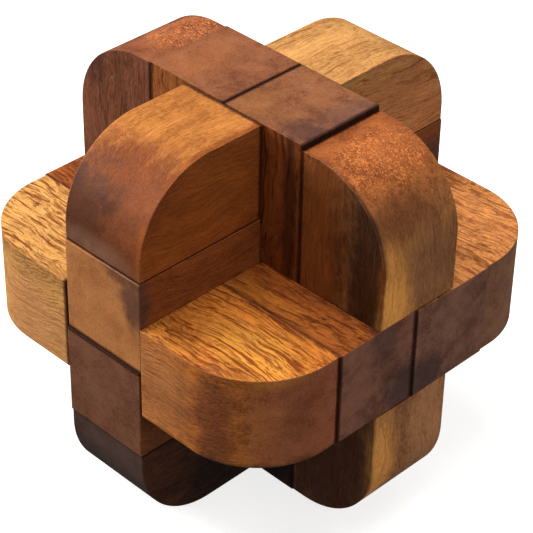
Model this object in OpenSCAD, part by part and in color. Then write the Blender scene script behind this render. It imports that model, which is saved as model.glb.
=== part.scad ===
// Six-piece wooden burr puzzle, a ball of three crossed square plates.
// Each piece is a notched square bar with two round-cornered blocks glued to its outer face.
// Two bars run along each axis. The six pieces only come apart when all of them are drawn
// outwards together, each by the same amount.
// The origin is the middle of the footprint, on the surface that the puzzle stands on.

/* [Bars] */
// Nominal width of a square bar, with its share of the play
bar_w = 20; // [14:1:26]
// Length of a bar, which is the size of the puzzle across
bar_len = 80; // [66:1:110]

/* [Blocks] */
// Radius of the round outer corner of a block, at most the block's own width
corner_r = 17; // [4:0.5:24]
// How far the end of a bar stands proud of its blocks
block_inset = 0.3; // [0:0.1:2]
// The same for the right upright's upper block, which is cut a little shorter
short_inset = 1.1; // [0:0.1:2]

/* [Fit] */
// Gap between the faces of two neighbouring pieces
play = 0.33; // [0.1:0.01:0.4]
// How far to one side a bar rests, as a share of its play
side_rest = 0.8; // [0:0.05:0.95]

/* [Hidden] */

// Wood tones, from the darkest heartwood to pale golden wood
umber = "#5a3a2a";
russet = "#96603c";
amber = "#b97a45";
honey = "#dca766";

unit = bar_w / 2;               // half a bar, the step of the whole layout
reach = bar_len / 2;            // from the centre of the puzzle to its outside
inset = play / 2;               // how far each face is held back from the layout
slant = inset * sqrt(2);        // the same for a 45 degree face, measured along an axis
thick = bar_w - play;           // real width of a bar
bar_shift = side_rest * play;   // sideways rest of a bar
over = 1;                       // how far a cutter runs past what it cuts

// Turn from a piece's own frame to its place. In its own frame a piece's outer face looks
// along +X and the piece runs along Z.
UPRIGHT = [0, 0, 0];            // Z stays up
RAIL = [90, 0, 90];             // Z goes to the right
BEAM = [90, -90, 0];            // Z goes to the front
NEAR = 0;                       // right, back and top piece of a pair
FAR = 180;                      // left, front and bottom piece of a pair

// Outline of a block: a rectangle whose corner farthest from the origin is round
module round_cornered(w, h, r) {
    difference() {
        square([w, h]);
        translate([w - r, h - r]) difference() {
            square(r + over);
            circle(r, $fn = 96);
        }
    }
}

// Hollow across the inner face of a bar, with 45 degree sides
module inner_notch() {
    mouth = 2 * unit + slant;
    floor_x = unit + inset;
    rotate([90, 0, 0])
        linear_extrude(height = bar_w + over, center = true)
            polygon([
                [-over, -mouth - over], [floor_x, -mouth + floor_x],
                [floor_x, mouth - floor_x], [-over, mouth + over]
            ]);
}

// The two outer corners cut from the middle of a bar, which leave a ridge
module ridge_cuts() {
    crest = 2 * unit - slant;
    for (side = [0, 1]) mirror([0, side, 0])
        linear_extrude(height = 2 * (unit + inset), center = true)
            polygon([
                [crest, 0], [unit - over, crest - unit + over],
                [unit - over, bar_w], [bar_w + over, bar_w], [bar_w + over, 0]
            ]);
}

// Notched square bar
module bar() {
    difference() {
        translate([inset, -thick / 2, -reach]) cube([thick, thick, 2 * reach]);
        inner_notch();
        ridge_cuts();
    }
}

// Quarter-round block on the outer face of a bar, on the +Z half of it
module block(set_back = block_inset) {
    foot = unit + inset;
    face = bar_w - inset;
    width = reach - face;
    translate([face, thick / 2, foot])
        rotate([90, 0, 0])
            linear_extrude(height = thick)
                round_cornered(width, reach - set_back - foot, min(corner_r, width));
}

// Puts a piece in its place, resting to one side within its play
module placed(turn, half, shift = bar_shift) {
    translate([0, 0, reach])
        rotate(turn)
            rotate([0, 0, half])
                translate([0, -shift, 0]) children();
}

// A piece's block at its other end, on the -Z half
module other_end() {
    mirror([0, 0, 1]) children();
}

module top_beam() { color(amber) placed(BEAM, NEAR) bar(); }
module top_beam_front_block() { color(amber) placed(BEAM, NEAR) block(); }
module top_beam_back_block() { color(honey) placed(BEAM, NEAR) other_end() block(); }

module bottom_beam() { color(russet) placed(BEAM, FAR) bar(); }
module bottom_beam_front_block() { color(umber) placed(BEAM, FAR) block(); }
module bottom_beam_back_block() { color(umber) placed(BEAM, FAR) other_end() block(); }

module front_rail() { color(umber) placed(RAIL, FAR) bar(); }
module front_rail_right_block() { color(amber) placed(RAIL, FAR) block(); }
module front_rail_left_block() { color(honey) placed(RAIL, FAR) other_end() block(); }

module back_rail() { color(umber) placed(RAIL, NEAR) bar(); }
module back_rail_right_block() { color(amber) placed(RAIL, NEAR) block(); }
module back_rail_left_block() { color(honey) placed(RAIL, NEAR) other_end() block(); }

module left_upright() { color(russet) placed(UPRIGHT, FAR) bar(); }
module left_upright_upper_block() { color(russet) placed(UPRIGHT, FAR) block(); }
module left_upright_lower_block() { color(amber) placed(UPRIGHT, FAR) other_end() block(); }

module right_upright() { color(russet) placed(UPRIGHT, NEAR, 0) bar(); }
module right_upright_upper_block() { color(amber) placed(UPRIGHT, NEAR, 0) block(short_inset); }
module right_upright_lower_block() { color(amber) placed(UPRIGHT, NEAR, 0) other_end() block(); }

top_beam();
top_beam_front_block();
top_beam_back_block();
bottom_beam();
bottom_beam_front_block();
bottom_beam_back_block();
front_rail();
front_rail_right_block();
front_rail_left_block();
back_rail();
back_rail_right_block();
back_rail_left_block();
left_upright();
left_upright_upper_block();
left_upright_lower_block();
right_upright();
right_upright_upper_block();
right_upright_lower_block();
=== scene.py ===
"""Six-piece wooden burr puzzle: wood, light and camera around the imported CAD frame."""
import math

import bpy
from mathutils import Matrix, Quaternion, Vector


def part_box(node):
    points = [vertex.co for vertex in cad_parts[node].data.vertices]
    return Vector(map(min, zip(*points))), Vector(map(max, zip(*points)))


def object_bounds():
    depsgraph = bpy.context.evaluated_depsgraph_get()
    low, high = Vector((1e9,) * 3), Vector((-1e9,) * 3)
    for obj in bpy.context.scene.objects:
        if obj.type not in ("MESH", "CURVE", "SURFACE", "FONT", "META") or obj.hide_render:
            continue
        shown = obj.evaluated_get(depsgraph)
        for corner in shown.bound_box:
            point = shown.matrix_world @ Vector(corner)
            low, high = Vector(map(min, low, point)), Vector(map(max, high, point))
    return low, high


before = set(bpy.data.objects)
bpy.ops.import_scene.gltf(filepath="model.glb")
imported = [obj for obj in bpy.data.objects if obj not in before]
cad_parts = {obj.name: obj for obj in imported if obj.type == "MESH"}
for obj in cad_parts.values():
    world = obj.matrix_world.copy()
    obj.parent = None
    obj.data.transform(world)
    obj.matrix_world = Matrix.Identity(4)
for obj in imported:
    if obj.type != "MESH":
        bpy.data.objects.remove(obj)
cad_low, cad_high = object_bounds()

MM = 0.001

WELD_GAP = 0.002 * MM             # mesh points closer than this become one
FLAT_ANGLE = math.radians(0.5)    # faces that turn less than this become one
SHARP_ANGLE = math.radians(30)    # edges that turn more than this are rounded
EDGE_RADIUS = 0.05 * MM           # rounding of the mesh edges
WORN_RADIUS = 0.4 * MM            # rounding that the light shows along the edges
BUMP_DEPTH = 0.16 * MM            # depth of the pores and fibres in the surface
BUMP_STRENGTH = 0.8
ROUGHNESS = 0.56                  # satin oil finish
GLOSS = 0.18                      # specular level of the oil
OIL_IOR = 1.45


def srgb(red, green, blue):
    """Linear colour from 0 to 255 display values."""
    def linear(value):
        value /= 255
        return value / 12.92 if value <= 0.04045 else ((value + 0.055) / 1.055) ** 2.4
    return (linear(red), linear(green), linear(blue), 1.0)


# ---------------------------------------------------------------- node graphs

class Graph:
    """Adds shader nodes to a tree with little writing."""

    def __init__(self, tree):
        self.tree = tree
        tree.nodes.clear()

    def node(self, kind, inputs=None, **settings):
        made = self.tree.nodes.new(kind)
        for name, value in settings.items():
            setattr(made, name, value)
        for name, value in (inputs or {}).items():
            self.put(made.inputs[name], value)
        return made

    def put(self, socket, value):
        if isinstance(value, bpy.types.NodeSocket):
            self.tree.links.new(value, socket)
        else:
            socket.default_value = value

    def math(self, operation, *values, clamp=False):
        made = self.node("ShaderNodeMath", operation=operation, use_clamp=clamp)
        for socket, value in zip(made.inputs, values):
            self.put(socket, value)
        return made.outputs[0]

    def add(self, *values):
        """Sum of two or more values."""
        total = values[0]
        for value in values[1:]:
            total = self.math("ADD", total, value)
        return total

    def times(self, *values):
        """Product of two or more values."""
        total = values[0]
        for value in values[1:]:
            total = self.math("MULTIPLY", total, value)
        return total

    def vector(self, operation, *values):
        made = self.node("ShaderNodeVectorMath", operation=operation)
        for socket, value in zip(made.inputs, values):
            self.put(socket, value)
        return made.outputs["Value" if operation in ("DOT_PRODUCT", "LENGTH") else "Vector"]

    def facing(self, direction, axis):
        """How far a unit direction lies along an axis, either way, from 0 to 1."""
        return self.math("ABSOLUTE", self.vector("DOT_PRODUCT", direction, AXES[axis]))

    def mix(self, factor, a, b, blend="MIX"):
        made = self.node("ShaderNodeMix", data_type="RGBA", blend_type=blend, clamp_factor=True)
        self.put(made.inputs["Factor"], factor)
        self.put(made.inputs[6], a)
        self.put(made.inputs[7], b)
        return made.outputs[2]

    def darken(self, factor, colour, stain):
        """Colour multiplied by a stain, as far as factor says."""
        return self.mix(factor, colour, stain, "MULTIPLY")

    def span(self, value, low, high, to_low=0.0, to_high=1.0):
        """Smooth step of value, from low..high to to_low..to_high."""
        made = self.node("ShaderNodeMapRange", interpolation_type="SMOOTHSTEP")
        for name, v in (("Value", value), ("From Min", low), ("From Max", high),
                        ("To Min", to_low), ("To Max", to_high)):
            self.put(made.inputs[name], v)
        return made.outputs["Result"]

    def swing(self, value, amount):
        """A pattern value from 0 to 1 as a swing about zero."""
        return self.times(self.math("SUBTRACT", value, 0.5), amount)

    def noise(self, vector, across, along, detail=3.0, roughness=0.5, distortion=0.0):
        """Noise node whose features are across mm wide and along mm long in the grain."""
        scaled = self.vector("MULTIPLY", vector, (1 / across, 1 / across, 1 / along))
        return self.node("ShaderNodeTexNoise",
                         {"Vector": scaled, "Scale": 1.0, "Detail": detail,
                          "Roughness": roughness, "Distortion": distortion})


# ---------------------------------------------------------------- wood colours

INK = (0.34, 0.20, 0.12, 1)      # multiplies the wood in an open pore
STREAK = (0.42, 0.27, 0.18, 1)   # multiplies the wood in a long dark streak
GRIME_AND_GAP_SHADE = (0.16, 0.10, 0.07, 1)    # multiplies the wood along a seam: dirt, and painted shade between the pieces
OIL = (0.45, 0.34, 0.28, 1)      # multiplies the wood along an edge that has taken up oil
SHADE = (0.72, 0.68, 0.64, 1)    # multiplies a patch where the wood under it is dark
LIGHT = (1.22, 1.25, 1.28, 1)    # multiplies a patch where the wood under it is light
FLECK = srgb(216, 128, 62)       # light fleck in end grain
PALE_WEAR_AND_HIGHLIGHT = srgb(214, 156, 100)       # edge rubbed down to bare wood, with a painted highlight

# Colours of the patches
PLUM = srgb(92, 60, 50)
# painted shade for a front face in a hollow
COCOA_PAINTED_SHADE = srgb(54, 28, 14)
CLAY = srgb(124, 86, 66)
SLATE = srgb(86, 62, 58)
# painted light, lifting the front of the right faces of the right-hand blocks
HONEY_PAINTED_LIGHT = srgb(255, 176, 90)
STRAW = srgb(220, 152, 62)
OLIVE = srgb(154, 104, 70)
# painted shade for a front face in a hollow
TOFFEE_PAINTED_SHADE = srgb(118, 62, 24)
MAROON = srgb(76, 46, 38)

# How far red, green and blue go down in the dark tone of a wood and up in its light tone
DARKER = (0.42, 0.50, 0.56)
LIGHTER = (0.30, 0.36, 0.42)


def tones(red, green, blue, spread=1.0):
    """Dark, middle and light tone of one wood, from its middle colour."""
    middle = srgb(red, green, blue)
    dark = tuple(c * (1 - spread * k) for c, k in zip(middle, DARKER)) + (1.0,)
    light = tuple(c * (1 + spread * k) for c, k in zip(middle, LIGHTER)) + (1.0,)
    return dark, middle, light


def tone_ramp(g, tone, shades):
    """Colour of a wood for a tone from 0, dark, to 1, light."""
    ramp = g.node("ShaderNodeValToRGB", {"Fac": tone})
    dark, light = ramp.color_ramp.elements
    dark.position, dark.color = 0.12, shades[0]
    light.position, light.color = 0.88, shades[2]
    ramp.color_ramp.elements.new(0.5).color = shades[1]
    return ramp.outputs[0]


# ---------------------------------------------------------------- wood

AXES = {"X": (1, 0, 0), "Y": (0, 1, 0), "Z": (0, 0, 1)}
GRAIN_ORDER = {"X": (1, 2, 0), "Y": (2, 0, 1), "Z": (0, 1, 2)}   # axes sent to (u, v, grain)
LOG_STEP = (13.7, -7.3, 31.1)    # mm between the spots of two pieces in the log they come from
LOG_TURN = 0.9                   # turn about the grain from one piece to the next, in radians
LOG_TILT = 0.05                  # most that the grain leans off the piece's length, in radians


class Wood:
    """The patterns that one piece of wood is drawn from, and the directions its faces look in.

    A piece is cut from its own spot in an endless log, whose grain runs along one axis of the
    frame. All patterns are noise in mm of that log.
    """

    def __init__(self, g, grain, seed, box):
        self.g = g
        self.low, self.high = (corner / MM for corner in box)
        self.in_mm = g.vector("MULTIPLY", g.node("ShaderNodeTexCoord").outputs["Object"],
                              (1 / MM,) * 3)
        self.split = g.node("ShaderNodeSeparateXYZ", {0: self.in_mm}).outputs
        turned = g.node("ShaderNodeCombineXYZ",
                        {i: self.split[axis] for i, axis in enumerate(GRAIN_ORDER[grain])})
        self.log = g.node("ShaderNodeMapping",
                          {"Vector": turned.outputs[0],
                           "Location": tuple(step * seed for step in LOG_STEP),
                           "Rotation": (LOG_TILT * math.sin(seed * 1.7),
                                        LOG_TILT * math.cos(seed * 2.3),
                                        LOG_TURN * seed)}).outputs[0]
        self.make_patterns()
        self.find_faces(grain)

    def make_patterns(self):
        # the grain wanders sideways by a few millimetres
        wander = self.g.noise(self.log, 22, 26).outputs["Color"]
        centred = self.g.vector("SUBTRACT", wander, (0.5, 0.5, 0.5))
        fibres = self.g.vector("ADD", self.log, self.g.vector("MULTIPLY", centred, (9, 9, 0)))

        def noise(where, *size, **how):
            return self.g.noise(where, *size, **how).outputs["Fac"]

        self.broad = noise(fibres, 9, 50)
        self.band = noise(fibres, 2.4, 50, roughness=0.55)
        self.streak = noise(fibres, 0.85, 30, roughness=0.6)
        self.dash = noise(fibres, 0.75, 12.0, detail=4, roughness=0.6, distortion=0.3)
        self.tick = noise(fibres, 0.38, 5.0, roughness=0.6, distortion=0.3)
        self.glint = noise(fibres, 0.55, 3.0, roughness=0.6)
        self.fibre = noise(fibres, 0.3, 5, roughness=0.65)
        self.cloud = noise(self.log, 3.4, 4.4, detail=4, roughness=0.6, distortion=0.4)
        self.grit = noise(self.log, 0.6, 0.8, roughness=0.7)

    def find_faces(self, grain):
        """End grain, long faces and level faces, each from 0 to 1."""
        g = self.g
        self.normal = g.node("ShaderNodeNewGeometry").outputs["Normal"]
        self.local = g.node("ShaderNodeVectorTransform", {"Vector": self.normal},
                            vector_type="NORMAL", convert_from="WORLD",
                            convert_to="OBJECT").outputs[0]
        self.end = g.span(g.facing(self.local, grain), 0.30, 0.95)
        self.side = g.math("SUBTRACT", 1.0, self.end)
        self.level = g.facing(self.local, "Z")

    def reach(self, place, radii):
        """Distance from a place in the piece's box, as a share of the radii."""
        point = [a + (b - a) * share for a, b, share in zip(self.low, self.high, place)]
        away = self.g.vector("SUBTRACT", self.in_mm, point)
        return self.g.vector("LENGTH", self.g.vector("DIVIDE", away, radii))

    def depth(self, side):
        """Distance in mm from one side of the piece's box, such as "+X"."""
        sign, letter = side
        axis = "XYZ".index(letter)
        face = (self.high if sign == "+" else self.low)[axis]
        return self.g.math("ABSOLUTE", self.g.math("SUBTRACT", self.split[axis], face))


def heart(w, mottle):
    """Tone of the bare wood, from 0, dark, to 1, light."""
    g = w.g
    tone = g.add(0.5, g.swing(w.broad, 1.4), g.swing(w.band, 0.8),
                 g.swing(w.cloud, 1.4 * mottle), g.swing(w.fibre, 1.1))
    return g.math("ADD", tone, g.swing(w.grit, 1.5), clamp=True)


def add_patches(w, colour, tone, patches):
    """Ragged tinted areas, each round its own place, in which the grain still shows. Some of them
    are painted shade and painted light.
    """
    g = w.g
    for place, radii, tint, strength in patches:
        away = w.reach(place, radii)
        ragged = g.add(away, g.add(g.swing(w.band, 0.5), g.swing(w.cloud, 0.7)))
        inside = g.span(ragged, 0.35, 1.15, strength, 0.0)
        varied = g.mix(tone, g.darken(1.0, tint, SHADE), g.darken(1.0, tint, LIGHT))
        colour = g.mix(inside, colour, varied)
    return colour


def add_marks(w, colour, long_mark, pore, dashes, light):
    """Long streaks, painted glints and open pores, and dark specks in the end grain."""
    g = w.g
    colour = g.darken(long_mark, colour, STREAK)
    # painted glints: short light flecks on the long faces between the pores
    painted_glint = g.times(g.span(w.glint, 0.50, 0.64), g.times(w.side, dashes))
    colour = g.mix(g.times(painted_glint, 0.55), colour, light)
    colour = g.darken(g.times(pore, dashes), colour, INK)
    speck = g.times(g.span(w.grit, 0.56, 0.70), g.span(w.end, 0.0, 1.0, 0.5, 1.0))
    return g.darken(g.times(speck, 0.5), colour, STREAK)


def add_flecks(w, colour, place, radii, strength):
    """Short curled light flecks in the end grain, round one place."""
    g = w.g
    away = g.add(w.reach(place, radii), g.swing(w.cloud, 0.8))
    zone = g.span(away, 0.6, 1.1, strength, 0.0)
    worm = g.noise(w.log, 0.65, 0.8, detail=2, distortion=1.6).outputs["Fac"]
    fleck = g.times(g.span(worm, 0.50, 0.62), g.times(zone, w.end))
    return g.mix(fleck, colour, FLECK)


def add_edge_wear_and_highlight(w, colour, soft, wear_and_highlight):
    """Edges that are darkened by oil in some places, and painted pale in others: rubbed down to
    bare wood, with a painted highlight.
    """
    g = w.g
    edge = g.span(g.vector("DOT_PRODUCT", soft, w.normal), 0.78, 0.98, 1.0, 0.0)
    # pale edges: rubbed wear and a painted highlight along the edge
    pale_edge_wear_and_highlight = g.times(edge, g.span(w.cloud, 0.40, 0.56, 0.4 * wear_and_highlight, wear_and_highlight))
    oiled = g.times(edge, g.span(w.cloud, 0.34, 0.50, 0.8, 0.1))
    return g.mix(pale_edge_wear_and_highlight, g.darken(oiled, colour, OIL), PALE_WEAR_AND_HIGHLIGHT)


def add_seams(w, colour, seams):
    """Dark dirt, and painted shade between the pieces, along the sides where the piece meets
    another.
    """
    g = w.g
    for side, width, on_level in seams:
        ragged = g.add(w.depth(side), g.swing(w.grit, 0.4))
        # painted shade between the pieces, with dirt, fading away from the side
        dirt_and_gap_shade = g.span(ragged, 0.25, width, 0.97, 0.0)
        dirt_and_gap_shade = g.times(dirt_and_gap_shade, g.span(w.level, 0.3, 0.7, 1.0, on_level))
        colour = g.darken(dirt_and_gap_shade, colour, GRIME_AND_GAP_SHADE)
    return colour


def wood(name, box, seed, grain, long, ends, dashes=0.3, figured=None, streaks=0.4,
         mottle=0.5, wear_and_highlight=0.3, flecked=None, patches=(), seams=()):
    """Oiled hardwood with its grain along one axis of the frame.

    long and ends are the tones of the long faces and of the end grain. dashes, streaks and
    mottle say how strong the short dark pores, the long streaks and the cloudiness are, and
    wear_and_highlight how far the edges are painted pale: rubbed down to bare wood, with a
    painted highlight. figured is the axis that the faces with the dark pores look along, the
    other long faces are calmer. flecked is (place, radii, strength) of the light flecks in the
    end grain and patches are (place, radii, colour, strength), each tinting a part of the
    piece. A place is given in shares of the piece's box, from 0 at its left, front and bottom
    to 1 at its right, back and top, and radii are in mm.
    piece meets another and has a dark edge.
    """
    material = bpy.data.materials.new(name)
    material.use_nodes = True
    g = Graph(material.node_tree)
    w = Wood(g, grain, seed, box)
    if figured:
        shown = g.facing(w.local, figured)
        dashes = g.times(g.span(shown, 0.5, 0.9, 0.05, 1.0), dashes)

    tone = heart(w, mottle)
    colour = g.mix(w.end, tone_ramp(g, tone, long), tone_ramp(g, tone, ends))
    colour = add_patches(w, colour, tone, patches)

    long_mark = g.times(g.span(w.streak, 0.53, 0.66, 0.0, streaks), w.side)
    group = g.span(w.band, 0.30, 0.52, 0.35, 1.0)
    pore = g.math("MAXIMUM", g.span(w.dash, 0.49, 0.61), g.span(w.tick, 0.53, 0.64, 0.0, 0.8))
    pore = g.times(pore, g.times(group, w.side))
    colour = add_marks(w, colour, long_mark, pore, dashes, long[2])
    if flecked:
        colour = add_flecks(w, colour, *flecked)

    soft = g.node("ShaderNodeBevel", {"Radius": WORN_RADIUS}, samples=8).outputs[0]
    colour = add_edge_wear_and_highlight(w, colour, soft, wear_and_highlight)
    colour = add_seams(w, colour, seams)

    rough = g.add(ROUGHNESS, g.swing(w.cloud, 0.3))
    rough = g.math("ADD", rough, g.times(pore, 0.2), clamp=True)
    raised = g.add(g.times(w.fibre, 0.5), g.times(w.grit, 0.4))
    raised = g.math("SUBTRACT", raised, g.times(pore, 0.8))
    raised = g.math("SUBTRACT", raised, g.times(long_mark, 0.5))
    bump = g.node("ShaderNodeBump", {"Height": raised, "Strength": BUMP_STRENGTH,
                                     "Distance": BUMP_DEPTH, "Normal": soft})
    shader = g.node("ShaderNodeBsdfPrincipled",
                    {"Base Color": colour, "Roughness": rough, "Normal": bump.outputs[0],
                     "IOR": OIL_IOR, "Specular IOR Level": GLOSS})
    g.node("ShaderNodeOutputMaterial", {"Surface": shader.outputs[0]})
    return material


# ---------------------------------------------------------------- the pieces

# Width of a dark seam in mm and its strength on level faces
FINE = (0.6, 0.9)
WIDE = (1.0, 1.0)
FADED = (0.8, 0.6)
HIDDEN = (1.0, 0.1)

PIECES = {
    "top_beam_front_block": dict(
        grain="Y", long=tones(172, 108, 50, 0.8), ends=tones(112, 58, 28), dashes=0.05,
        streaks=0.2, mottle=0.8, wear_and_highlight=0.7, seams=[("-Z", *FINE), ("+Y", *WIDE)],
        patches=[
            ((0.99, 0.53, 0.5), (1.4, 44, 34), srgb(140, 72, 26), 0.95),
            ((0.59, 0.19, 0.85), (16, 9, 9), srgb(122, 60, 24), 0.9),
            ((0.03, 0.02, 0.4), (15, 9, 12), srgb(76, 42, 27), 0.85),
            ((0.33, -0.01, 0.06), (14, 3, 4), CLAY, 0.9)]),
    "top_beam_back_block": dict(
        grain="Y", long=tones(188, 136, 78, 0.8), ends=tones(182, 124, 72), dashes=0.1,
        streaks=0.6, mottle=0.6, seams=[("-Z", *FINE)], patches=[
            ((0.99, 0.5, 0.31), (1.4, 28, 18), srgb(204, 134, 86), 0.8)]),
    "top_beam": dict(
        grain="Y", long=tones(130, 70, 31, 0.8), ends=tones(180, 118, 70, 0.6), dashes=0.1,
        streaks=0.25, mottle=0.4, wear_and_highlight=0.7, seams=[("-Z", *WIDE)], patches=[
            ((0.94, 0, 0.75), (5, 4, 7), PLUM, 0.85), ((0.74, 0, 1.01), (8, 4, 2.5), PLUM, 0.7),
            ((0.99, 0.97, 0.5), (1.5, 6, 9), SLATE, 0.8)]),
    "bottom_beam": dict(
        grain="Y", long=tones(134, 74, 40, 0.8), ends=tones(116, 74, 54, 0.8), dashes=0.1,
        streaks=0.3, mottle=0.5, seams=[("+Z", *WIDE)]),
    "bottom_beam_front_block": dict(
        grain="Y", long=tones(80, 44, 26), ends=tones(74, 54, 48, 0.8), dashes=0.2, streaks=0.4,
        mottle=0.7, wear_and_highlight=0.12, seams=[("+Z", *FINE)], patches=[
            ((1.02, 0.8, 0.3), (2, 18, 15), srgb(34, 17, 8), 0.95)]),
    "bottom_beam_back_block": dict(
        grain="Y", long=tones(80, 44, 26), ends=tones(74, 54, 48, 0.8), dashes=0.2, streaks=0.4,
        mottle=0.7, wear_and_highlight=0.12, seams=[("+Z", *FINE)]),
    "front_rail": dict(
        grain="X", long=tones(150, 80, 28), ends=tones(132, 86, 68, 0.9), dashes=0.95,
        figured="Z", streaks=0.5, mottle=1.0, seams=[("-Y", *FADED), ("+Y", *WIDE)],
        patches=[
            # painted shade on the back of the top at the right, in the hollow by the uprights
            ((0.9, 0.7, 0.99), (12, 6, 4), srgb(112, 54, 24), 0.85),
            ((0.68, 0.14, 0.99), (22, 3, 4), srgb(176, 106, 38), 0.7),
            ((1, 0.91, 0.18), (4, 7, 8), SLATE, 0.9), ((1, 0.6, 0.89), (3, 5, 6), SLATE, 0.6)]),
    "front_rail_left_block": dict(
        grain="X", long=tones(196, 142, 78), ends=tones(196, 140, 92, 0.8), dashes=1.0,
        figured="Z", streaks=0.12, mottle=0.5, wear_and_highlight=0.6, seams=[("+X", *WIDE)], patches=[
            ((0.5, 0, 0.28), (20, 1.6, 14), srgb(208, 144, 92), 0.85),
            ((-0.01, 0.5, 0.49), (3, 14, 14), srgb(204, 158, 112), 0.7)]),
    "front_rail_right_block": dict(
        grain="X", long=tones(196, 116, 44), ends=tones(152, 88, 58, 0.8), dashes=1.0,
        figured="Z", streaks=0.3, mottle=0.6, wear_and_highlight=0.6, seams=[("+Y", *FADED)], patches=[
            ((0.6, 0.5, 0.99), (13, 8, 3), STRAW, 0.8), ((0.06, 0.1, 0.99), (12, 3, 3), STRAW, 0.5),
            ((0.06, 0, 0.49), (14, 1.6, 14), srgb(184, 118, 70), 0.9),
            ((0.6, 0.05, 0.38), (6, 5, 18), srgb(128, 70, 42), 0.9),
            ((0.37, 0, 0.38), (2.4, 3, 18), srgb(138, 84, 52), 0.4),
            ((0.84, 0.15, 0.49), (1.4, 2, 18), srgb(182, 124, 82), 0.8),
            ((0.98, 0.45, 0.38), (3, 3, 18), srgb(146, 86, 54), 0.7),
            # darker along the bottom edge
            ((0.54, 0.5, -0.05), (24, 24, 2.4), srgb(60, 36, 24), 0.85)]),
    "back_rail": dict(
        grain="X", long=tones(202, 130, 70), ends=tones(132, 90, 74, 0.9), dashes=0.7,
        figured="Z", streaks=0.4, mottle=1.0, seams=[("-Y", *FINE)],
        patches=[((1, 0.14, 0.11), (4, 8, 6), SLATE, 0.9)]),
    "back_rail_left_block": dict(
        grain="X", long=tones(186, 130, 72), ends=tones(180, 124, 80, 0.7), dashes=0.9,
        figured="Z", streaks=0.35, mottle=0.5, seams=[("-Y", *FINE)]),
    "back_rail_right_block": dict(
        grain="X", long=tones(212, 138, 76), ends=tones(142, 98, 74, 0.8), dashes=0.9,
        figured="Z", streaks=0.15, mottle=0.9, wear_and_highlight=0.6),
    "left_upright": dict(
        grain="Z", long=tones(136, 80, 38), ends=tones(124, 74, 48, 0.9), dashes=0.1,
        streaks=0.9, mottle=0.7, wear_and_highlight=0.2, seams=[("+X", *FINE), ("-X", *HIDDEN)],
        patches=[((0.3, 0.38, 1), (6, 12, 3), srgb(142, 86, 50), 0.6)]),
    "left_upright_upper_block": dict(
        grain="Z", long=tones(120, 74, 52, 0.8), ends=tones(126, 72, 46), dashes=0.1,
        streaks=0.6, mottle=0.6, wear_and_highlight=0.15, flecked=((0.74, 0.64, 1.01), (7, 9, 6), 0.7),
        seams=[("+X", *HIDDEN)], patches=[
            ((0.2, 0.49, 0.84), (6, 20, 8), srgb(72, 42, 36), 0.95)]),
    "left_upright_lower_block": dict(
        grain="Z", long=tones(172, 112, 64), ends=tones(130, 80, 54), dashes=0.3, streaks=0.4,
        mottle=0.5, seams=[("+X", *FINE)]),
    "right_upright": dict(
        grain="Z", long=tones(122, 62, 24), ends=tones(124, 76, 48, 0.9), dashes=0.1,
        streaks=1.0, mottle=0.8, wear_and_highlight=0.15, seams=[("-X", *FINE), ("+X", *WIDE)], patches=[
            ((0.86, 0.19, 1), (6, 5, 3), MAROON, 0.85), ((0.91, 0.7, 1), (4, 10, 3), PLUM, 0.7),
            ((0.19, 0.19, 1), (5, 6, 3), srgb(146, 94, 54), 0.6),
            # painted shade on the front face: a dark strip in the corner by the upper block, and
            # painted shadow near the foot
            ((0.86, -0.01, 0.8), (2.4, 1.4, 30), srgb(58, 26, 10), 0.8),
            ((0.6, -0.01, 0.05), (14, 2, 18), srgb(26, 11, 6), 0.95)]),
    "right_upright_upper_block": dict(
        grain="Z", long=tones(158, 104, 58), ends=tones(144, 78, 36), dashes=0.1, streaks=0.25,
        mottle=0.8, wear_and_highlight=0.4, flecked=((0.55, 0.5, 1), (9, 12, 7), 0.7), seams=[("-X", *FINE)],
        patches=[
            ((0.9, 0.35, 0.69), (6, 12, 5), srgb(112, 64, 34), 0.8),
            # the second patch on the next line is painted light on the lower front corner of the
            # right face
            ((1, 0.7, 0.27), (4, 9, 14), OLIVE, 0.7), ((1, 0.09, 0.06), (5, 7, 17), HONEY_PAINTED_LIGHT, 1.0),
            # painted shade on the front face, which lies in the hollow beside the front block
            ((0.21, -0.01, 0.41), (11, 1.3, 40), TOFFEE_PAINTED_SHADE, 0.95),
            ((0.8, -0.01, 0.41), (9, 1.3, 40), COCOA_PAINTED_SHADE, 0.97),
            ((1.05, -0.01, 0.27), (2.4, 1.3, 12), srgb(140, 78, 32), 0.9)]),
    "right_upright_lower_block": dict(
        grain="Z", long=tones(182, 124, 82), ends=tones(150, 96, 60), dashes=0.1, streaks=0.25,
        mottle=0.8, wear_and_highlight=0.4, seams=[("-X", *FINE)], patches=[
            # painted light on the front of the right face, in place of light thrown up from the
            # floor
            ((1, 0.09, 0.46), (4, 6, 20), HONEY_PAINTED_LIGHT, 0.85),
            # painted shade on the front face, which lies in a hollow
            ((0.45, -0.01, 0.46), (18, 1.3, 40), srgb(96, 54, 32), 0.95)]),
}


def ease_edges(piece):
    """Joins the CAD mesh up and rounds its sharp edges a little."""
    weld = piece.modifiers.new("weld", "WELD")
    weld.merge_threshold = WELD_GAP
    flat = piece.modifiers.new("flat", "DECIMATE")
    flat.decimate_type = "DISSOLVE"
    flat.angle_limit = FLAT_ANGLE
    bevel = piece.modifiers.new("eased", "BEVEL")
    bevel.width, bevel.segments = EDGE_RADIUS, 2
    bevel.limit_method, bevel.angle_limit = "ANGLE", SHARP_ANGLE
    bevel.use_clamp_overlap = False
    normals = piece.modifiers.new("normals", "WEIGHTED_NORMAL")
    normals.keep_sharp = False


for seed, (name, looks) in enumerate(PIECES.items(), start=1):
    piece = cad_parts[name]
    piece.data.shade_smooth()
    ease_edges(piece)
    piece.data.materials.clear()
    piece.data.materials.append(wood(name + "_wood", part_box(name), seed, **looks))


# ---------------------------------------------------------------- stage

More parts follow.
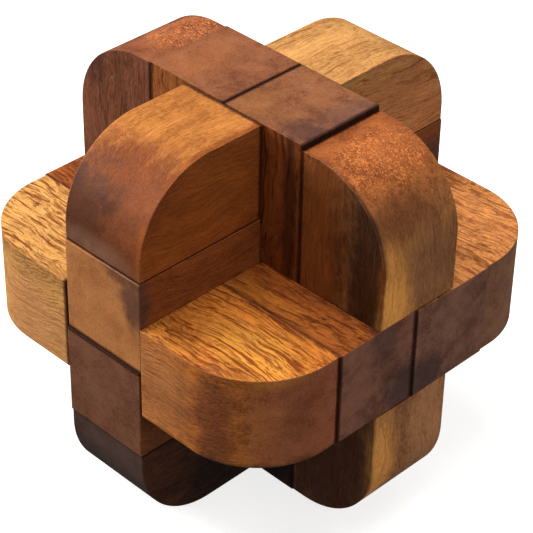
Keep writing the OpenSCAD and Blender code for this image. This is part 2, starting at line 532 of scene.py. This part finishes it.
FLOOR_HALF = 3.0             # half the floor's width, in metres
PAPER = (0.55, 0.55, 0.55, 1)
PAPER_GLOW = 0.76            # light that the floor gives of its own, so that it stays pale
SKY = 0.15                   # strength of the even light from all round

WARM = (1.0, 0.96, 0.88)
LIGHTS = {                   # azimuth, elevation, distance in m, size in m, power in W
    "overhead": (-40, 76, 0.8, 0.7, 8.0),
    "left_fill": (-60, 25, 1.0, 0.5, 11.0),
    "right_fill": (85, 25, 1.0, 0.8, 3.1),
    "back_fill": (185, 30, 1.0, 0.8, 2.5),
}

CAMERA_AZIMUTH = 44.41       # degrees, 0 in front and 90 to the right
CAMERA_ELEVATION = 35.88
CAMERA_ROLL = 1.14
CAMERA_DISTANCE = 0.395      # metres from the puzzle's centre
CAMERA_SLIDE = (1.36 * MM, -0.99 * MM, 0)    # to the camera's right and down
LENS, SENSOR = 137.8, 36.0   # mm

centre = (cad_low + cad_high) / 2


def away_from_puzzle(azimuth, elevation):
    """Unit direction from the puzzle, for angles in degrees."""
    a, e = math.radians(azimuth), math.radians(elevation)
    return Vector((math.sin(a) * math.cos(e), -math.cos(a) * math.cos(e), math.sin(e)))


def looking_along(direction):
    return direction.to_track_quat("-Z", "Y")


def put_in_scene(name, data):
    """New object that shows a mesh, light or camera."""
    made = bpy.data.objects.new(name, data)
    bpy.context.scene.collection.objects.link(made)
    return made


def make_floor():
    """Pale floor that takes shadows, and throws no light back onto the puzzle."""
    h = FLOOR_HALF
    mesh = bpy.data.meshes.new("floor")
    mesh.from_pydata([(-h, -h, 0), (h, -h, 0), (h, h, 0), (-h, h, 0)], [], [(0, 1, 2, 3)])
    floor = put_in_scene("floor", mesh)
    material = bpy.data.materials.new("floor_paper")
    material.use_nodes = True
    g = Graph(material.node_tree)
    paper = g.node("ShaderNodeBsdfDiffuse", {"Color": PAPER})
    glow = g.node("ShaderNodeEmission", {"Color": (1, 1, 1, 1), "Strength": PAPER_GLOW})
    both = g.node("ShaderNodeAddShader", {0: paper.outputs[0], 1: glow.outputs[0]})
    g.node("ShaderNodeOutputMaterial", {"Surface": both.outputs[0]})
    mesh.materials.append(material)
    floor.visible_diffuse = False
    floor.visible_glossy = False


def soft_light(name, azimuth, elevation, distance, size, power):
    """Square area light that looks at the puzzle."""
    data = bpy.data.lights.new(name, "AREA")
    data.size, data.energy, data.color = size, power, WARM
    light = put_in_scene(name, data)
    away = away_from_puzzle(azimuth, elevation)
    light.location = centre + away * distance
    light.rotation_mode = "QUATERNION"
    light.rotation_quaternion = looking_along(-away)


def make_world():
    world = bpy.data.worlds.new("studio")
    world.use_nodes = True
    g = Graph(world.node_tree)
    sky = g.node("ShaderNodeBackground", {"Color": (1, 1, 1, 1), "Strength": SKY})
    g.node("ShaderNodeOutputWorld", {"Surface": sky.outputs[0]})
    bpy.context.scene.world = world


def make_camera():
    """Camera aimed at the puzzle's centre, then slid sideways a little without turning."""
    data = bpy.data.cameras.new("camera")
    data.lens, data.sensor_width = LENS, SENSOR
    data.clip_start, data.clip_end = 0.01, 20.0
    camera = put_in_scene("camera", data)
    away = away_from_puzzle(CAMERA_AZIMUTH, CAMERA_ELEVATION)
    roll = Quaternion((0, 0, 1), math.radians(CAMERA_ROLL))
    camera.rotation_mode = "QUATERNION"
    camera.rotation_quaternion = looking_along(-away) @ roll
    slide = camera.rotation_quaternion @ Vector(CAMERA_SLIDE)
    camera.location = centre + away * CAMERA_DISTANCE + slide
    bpy.context.scene.camera = camera


make_floor()
make_world()
for name, settings in LIGHTS.items():
    soft_light(name, *settings)
make_camera()
bpy.context.scene.view_settings.view_transform = "Standard"
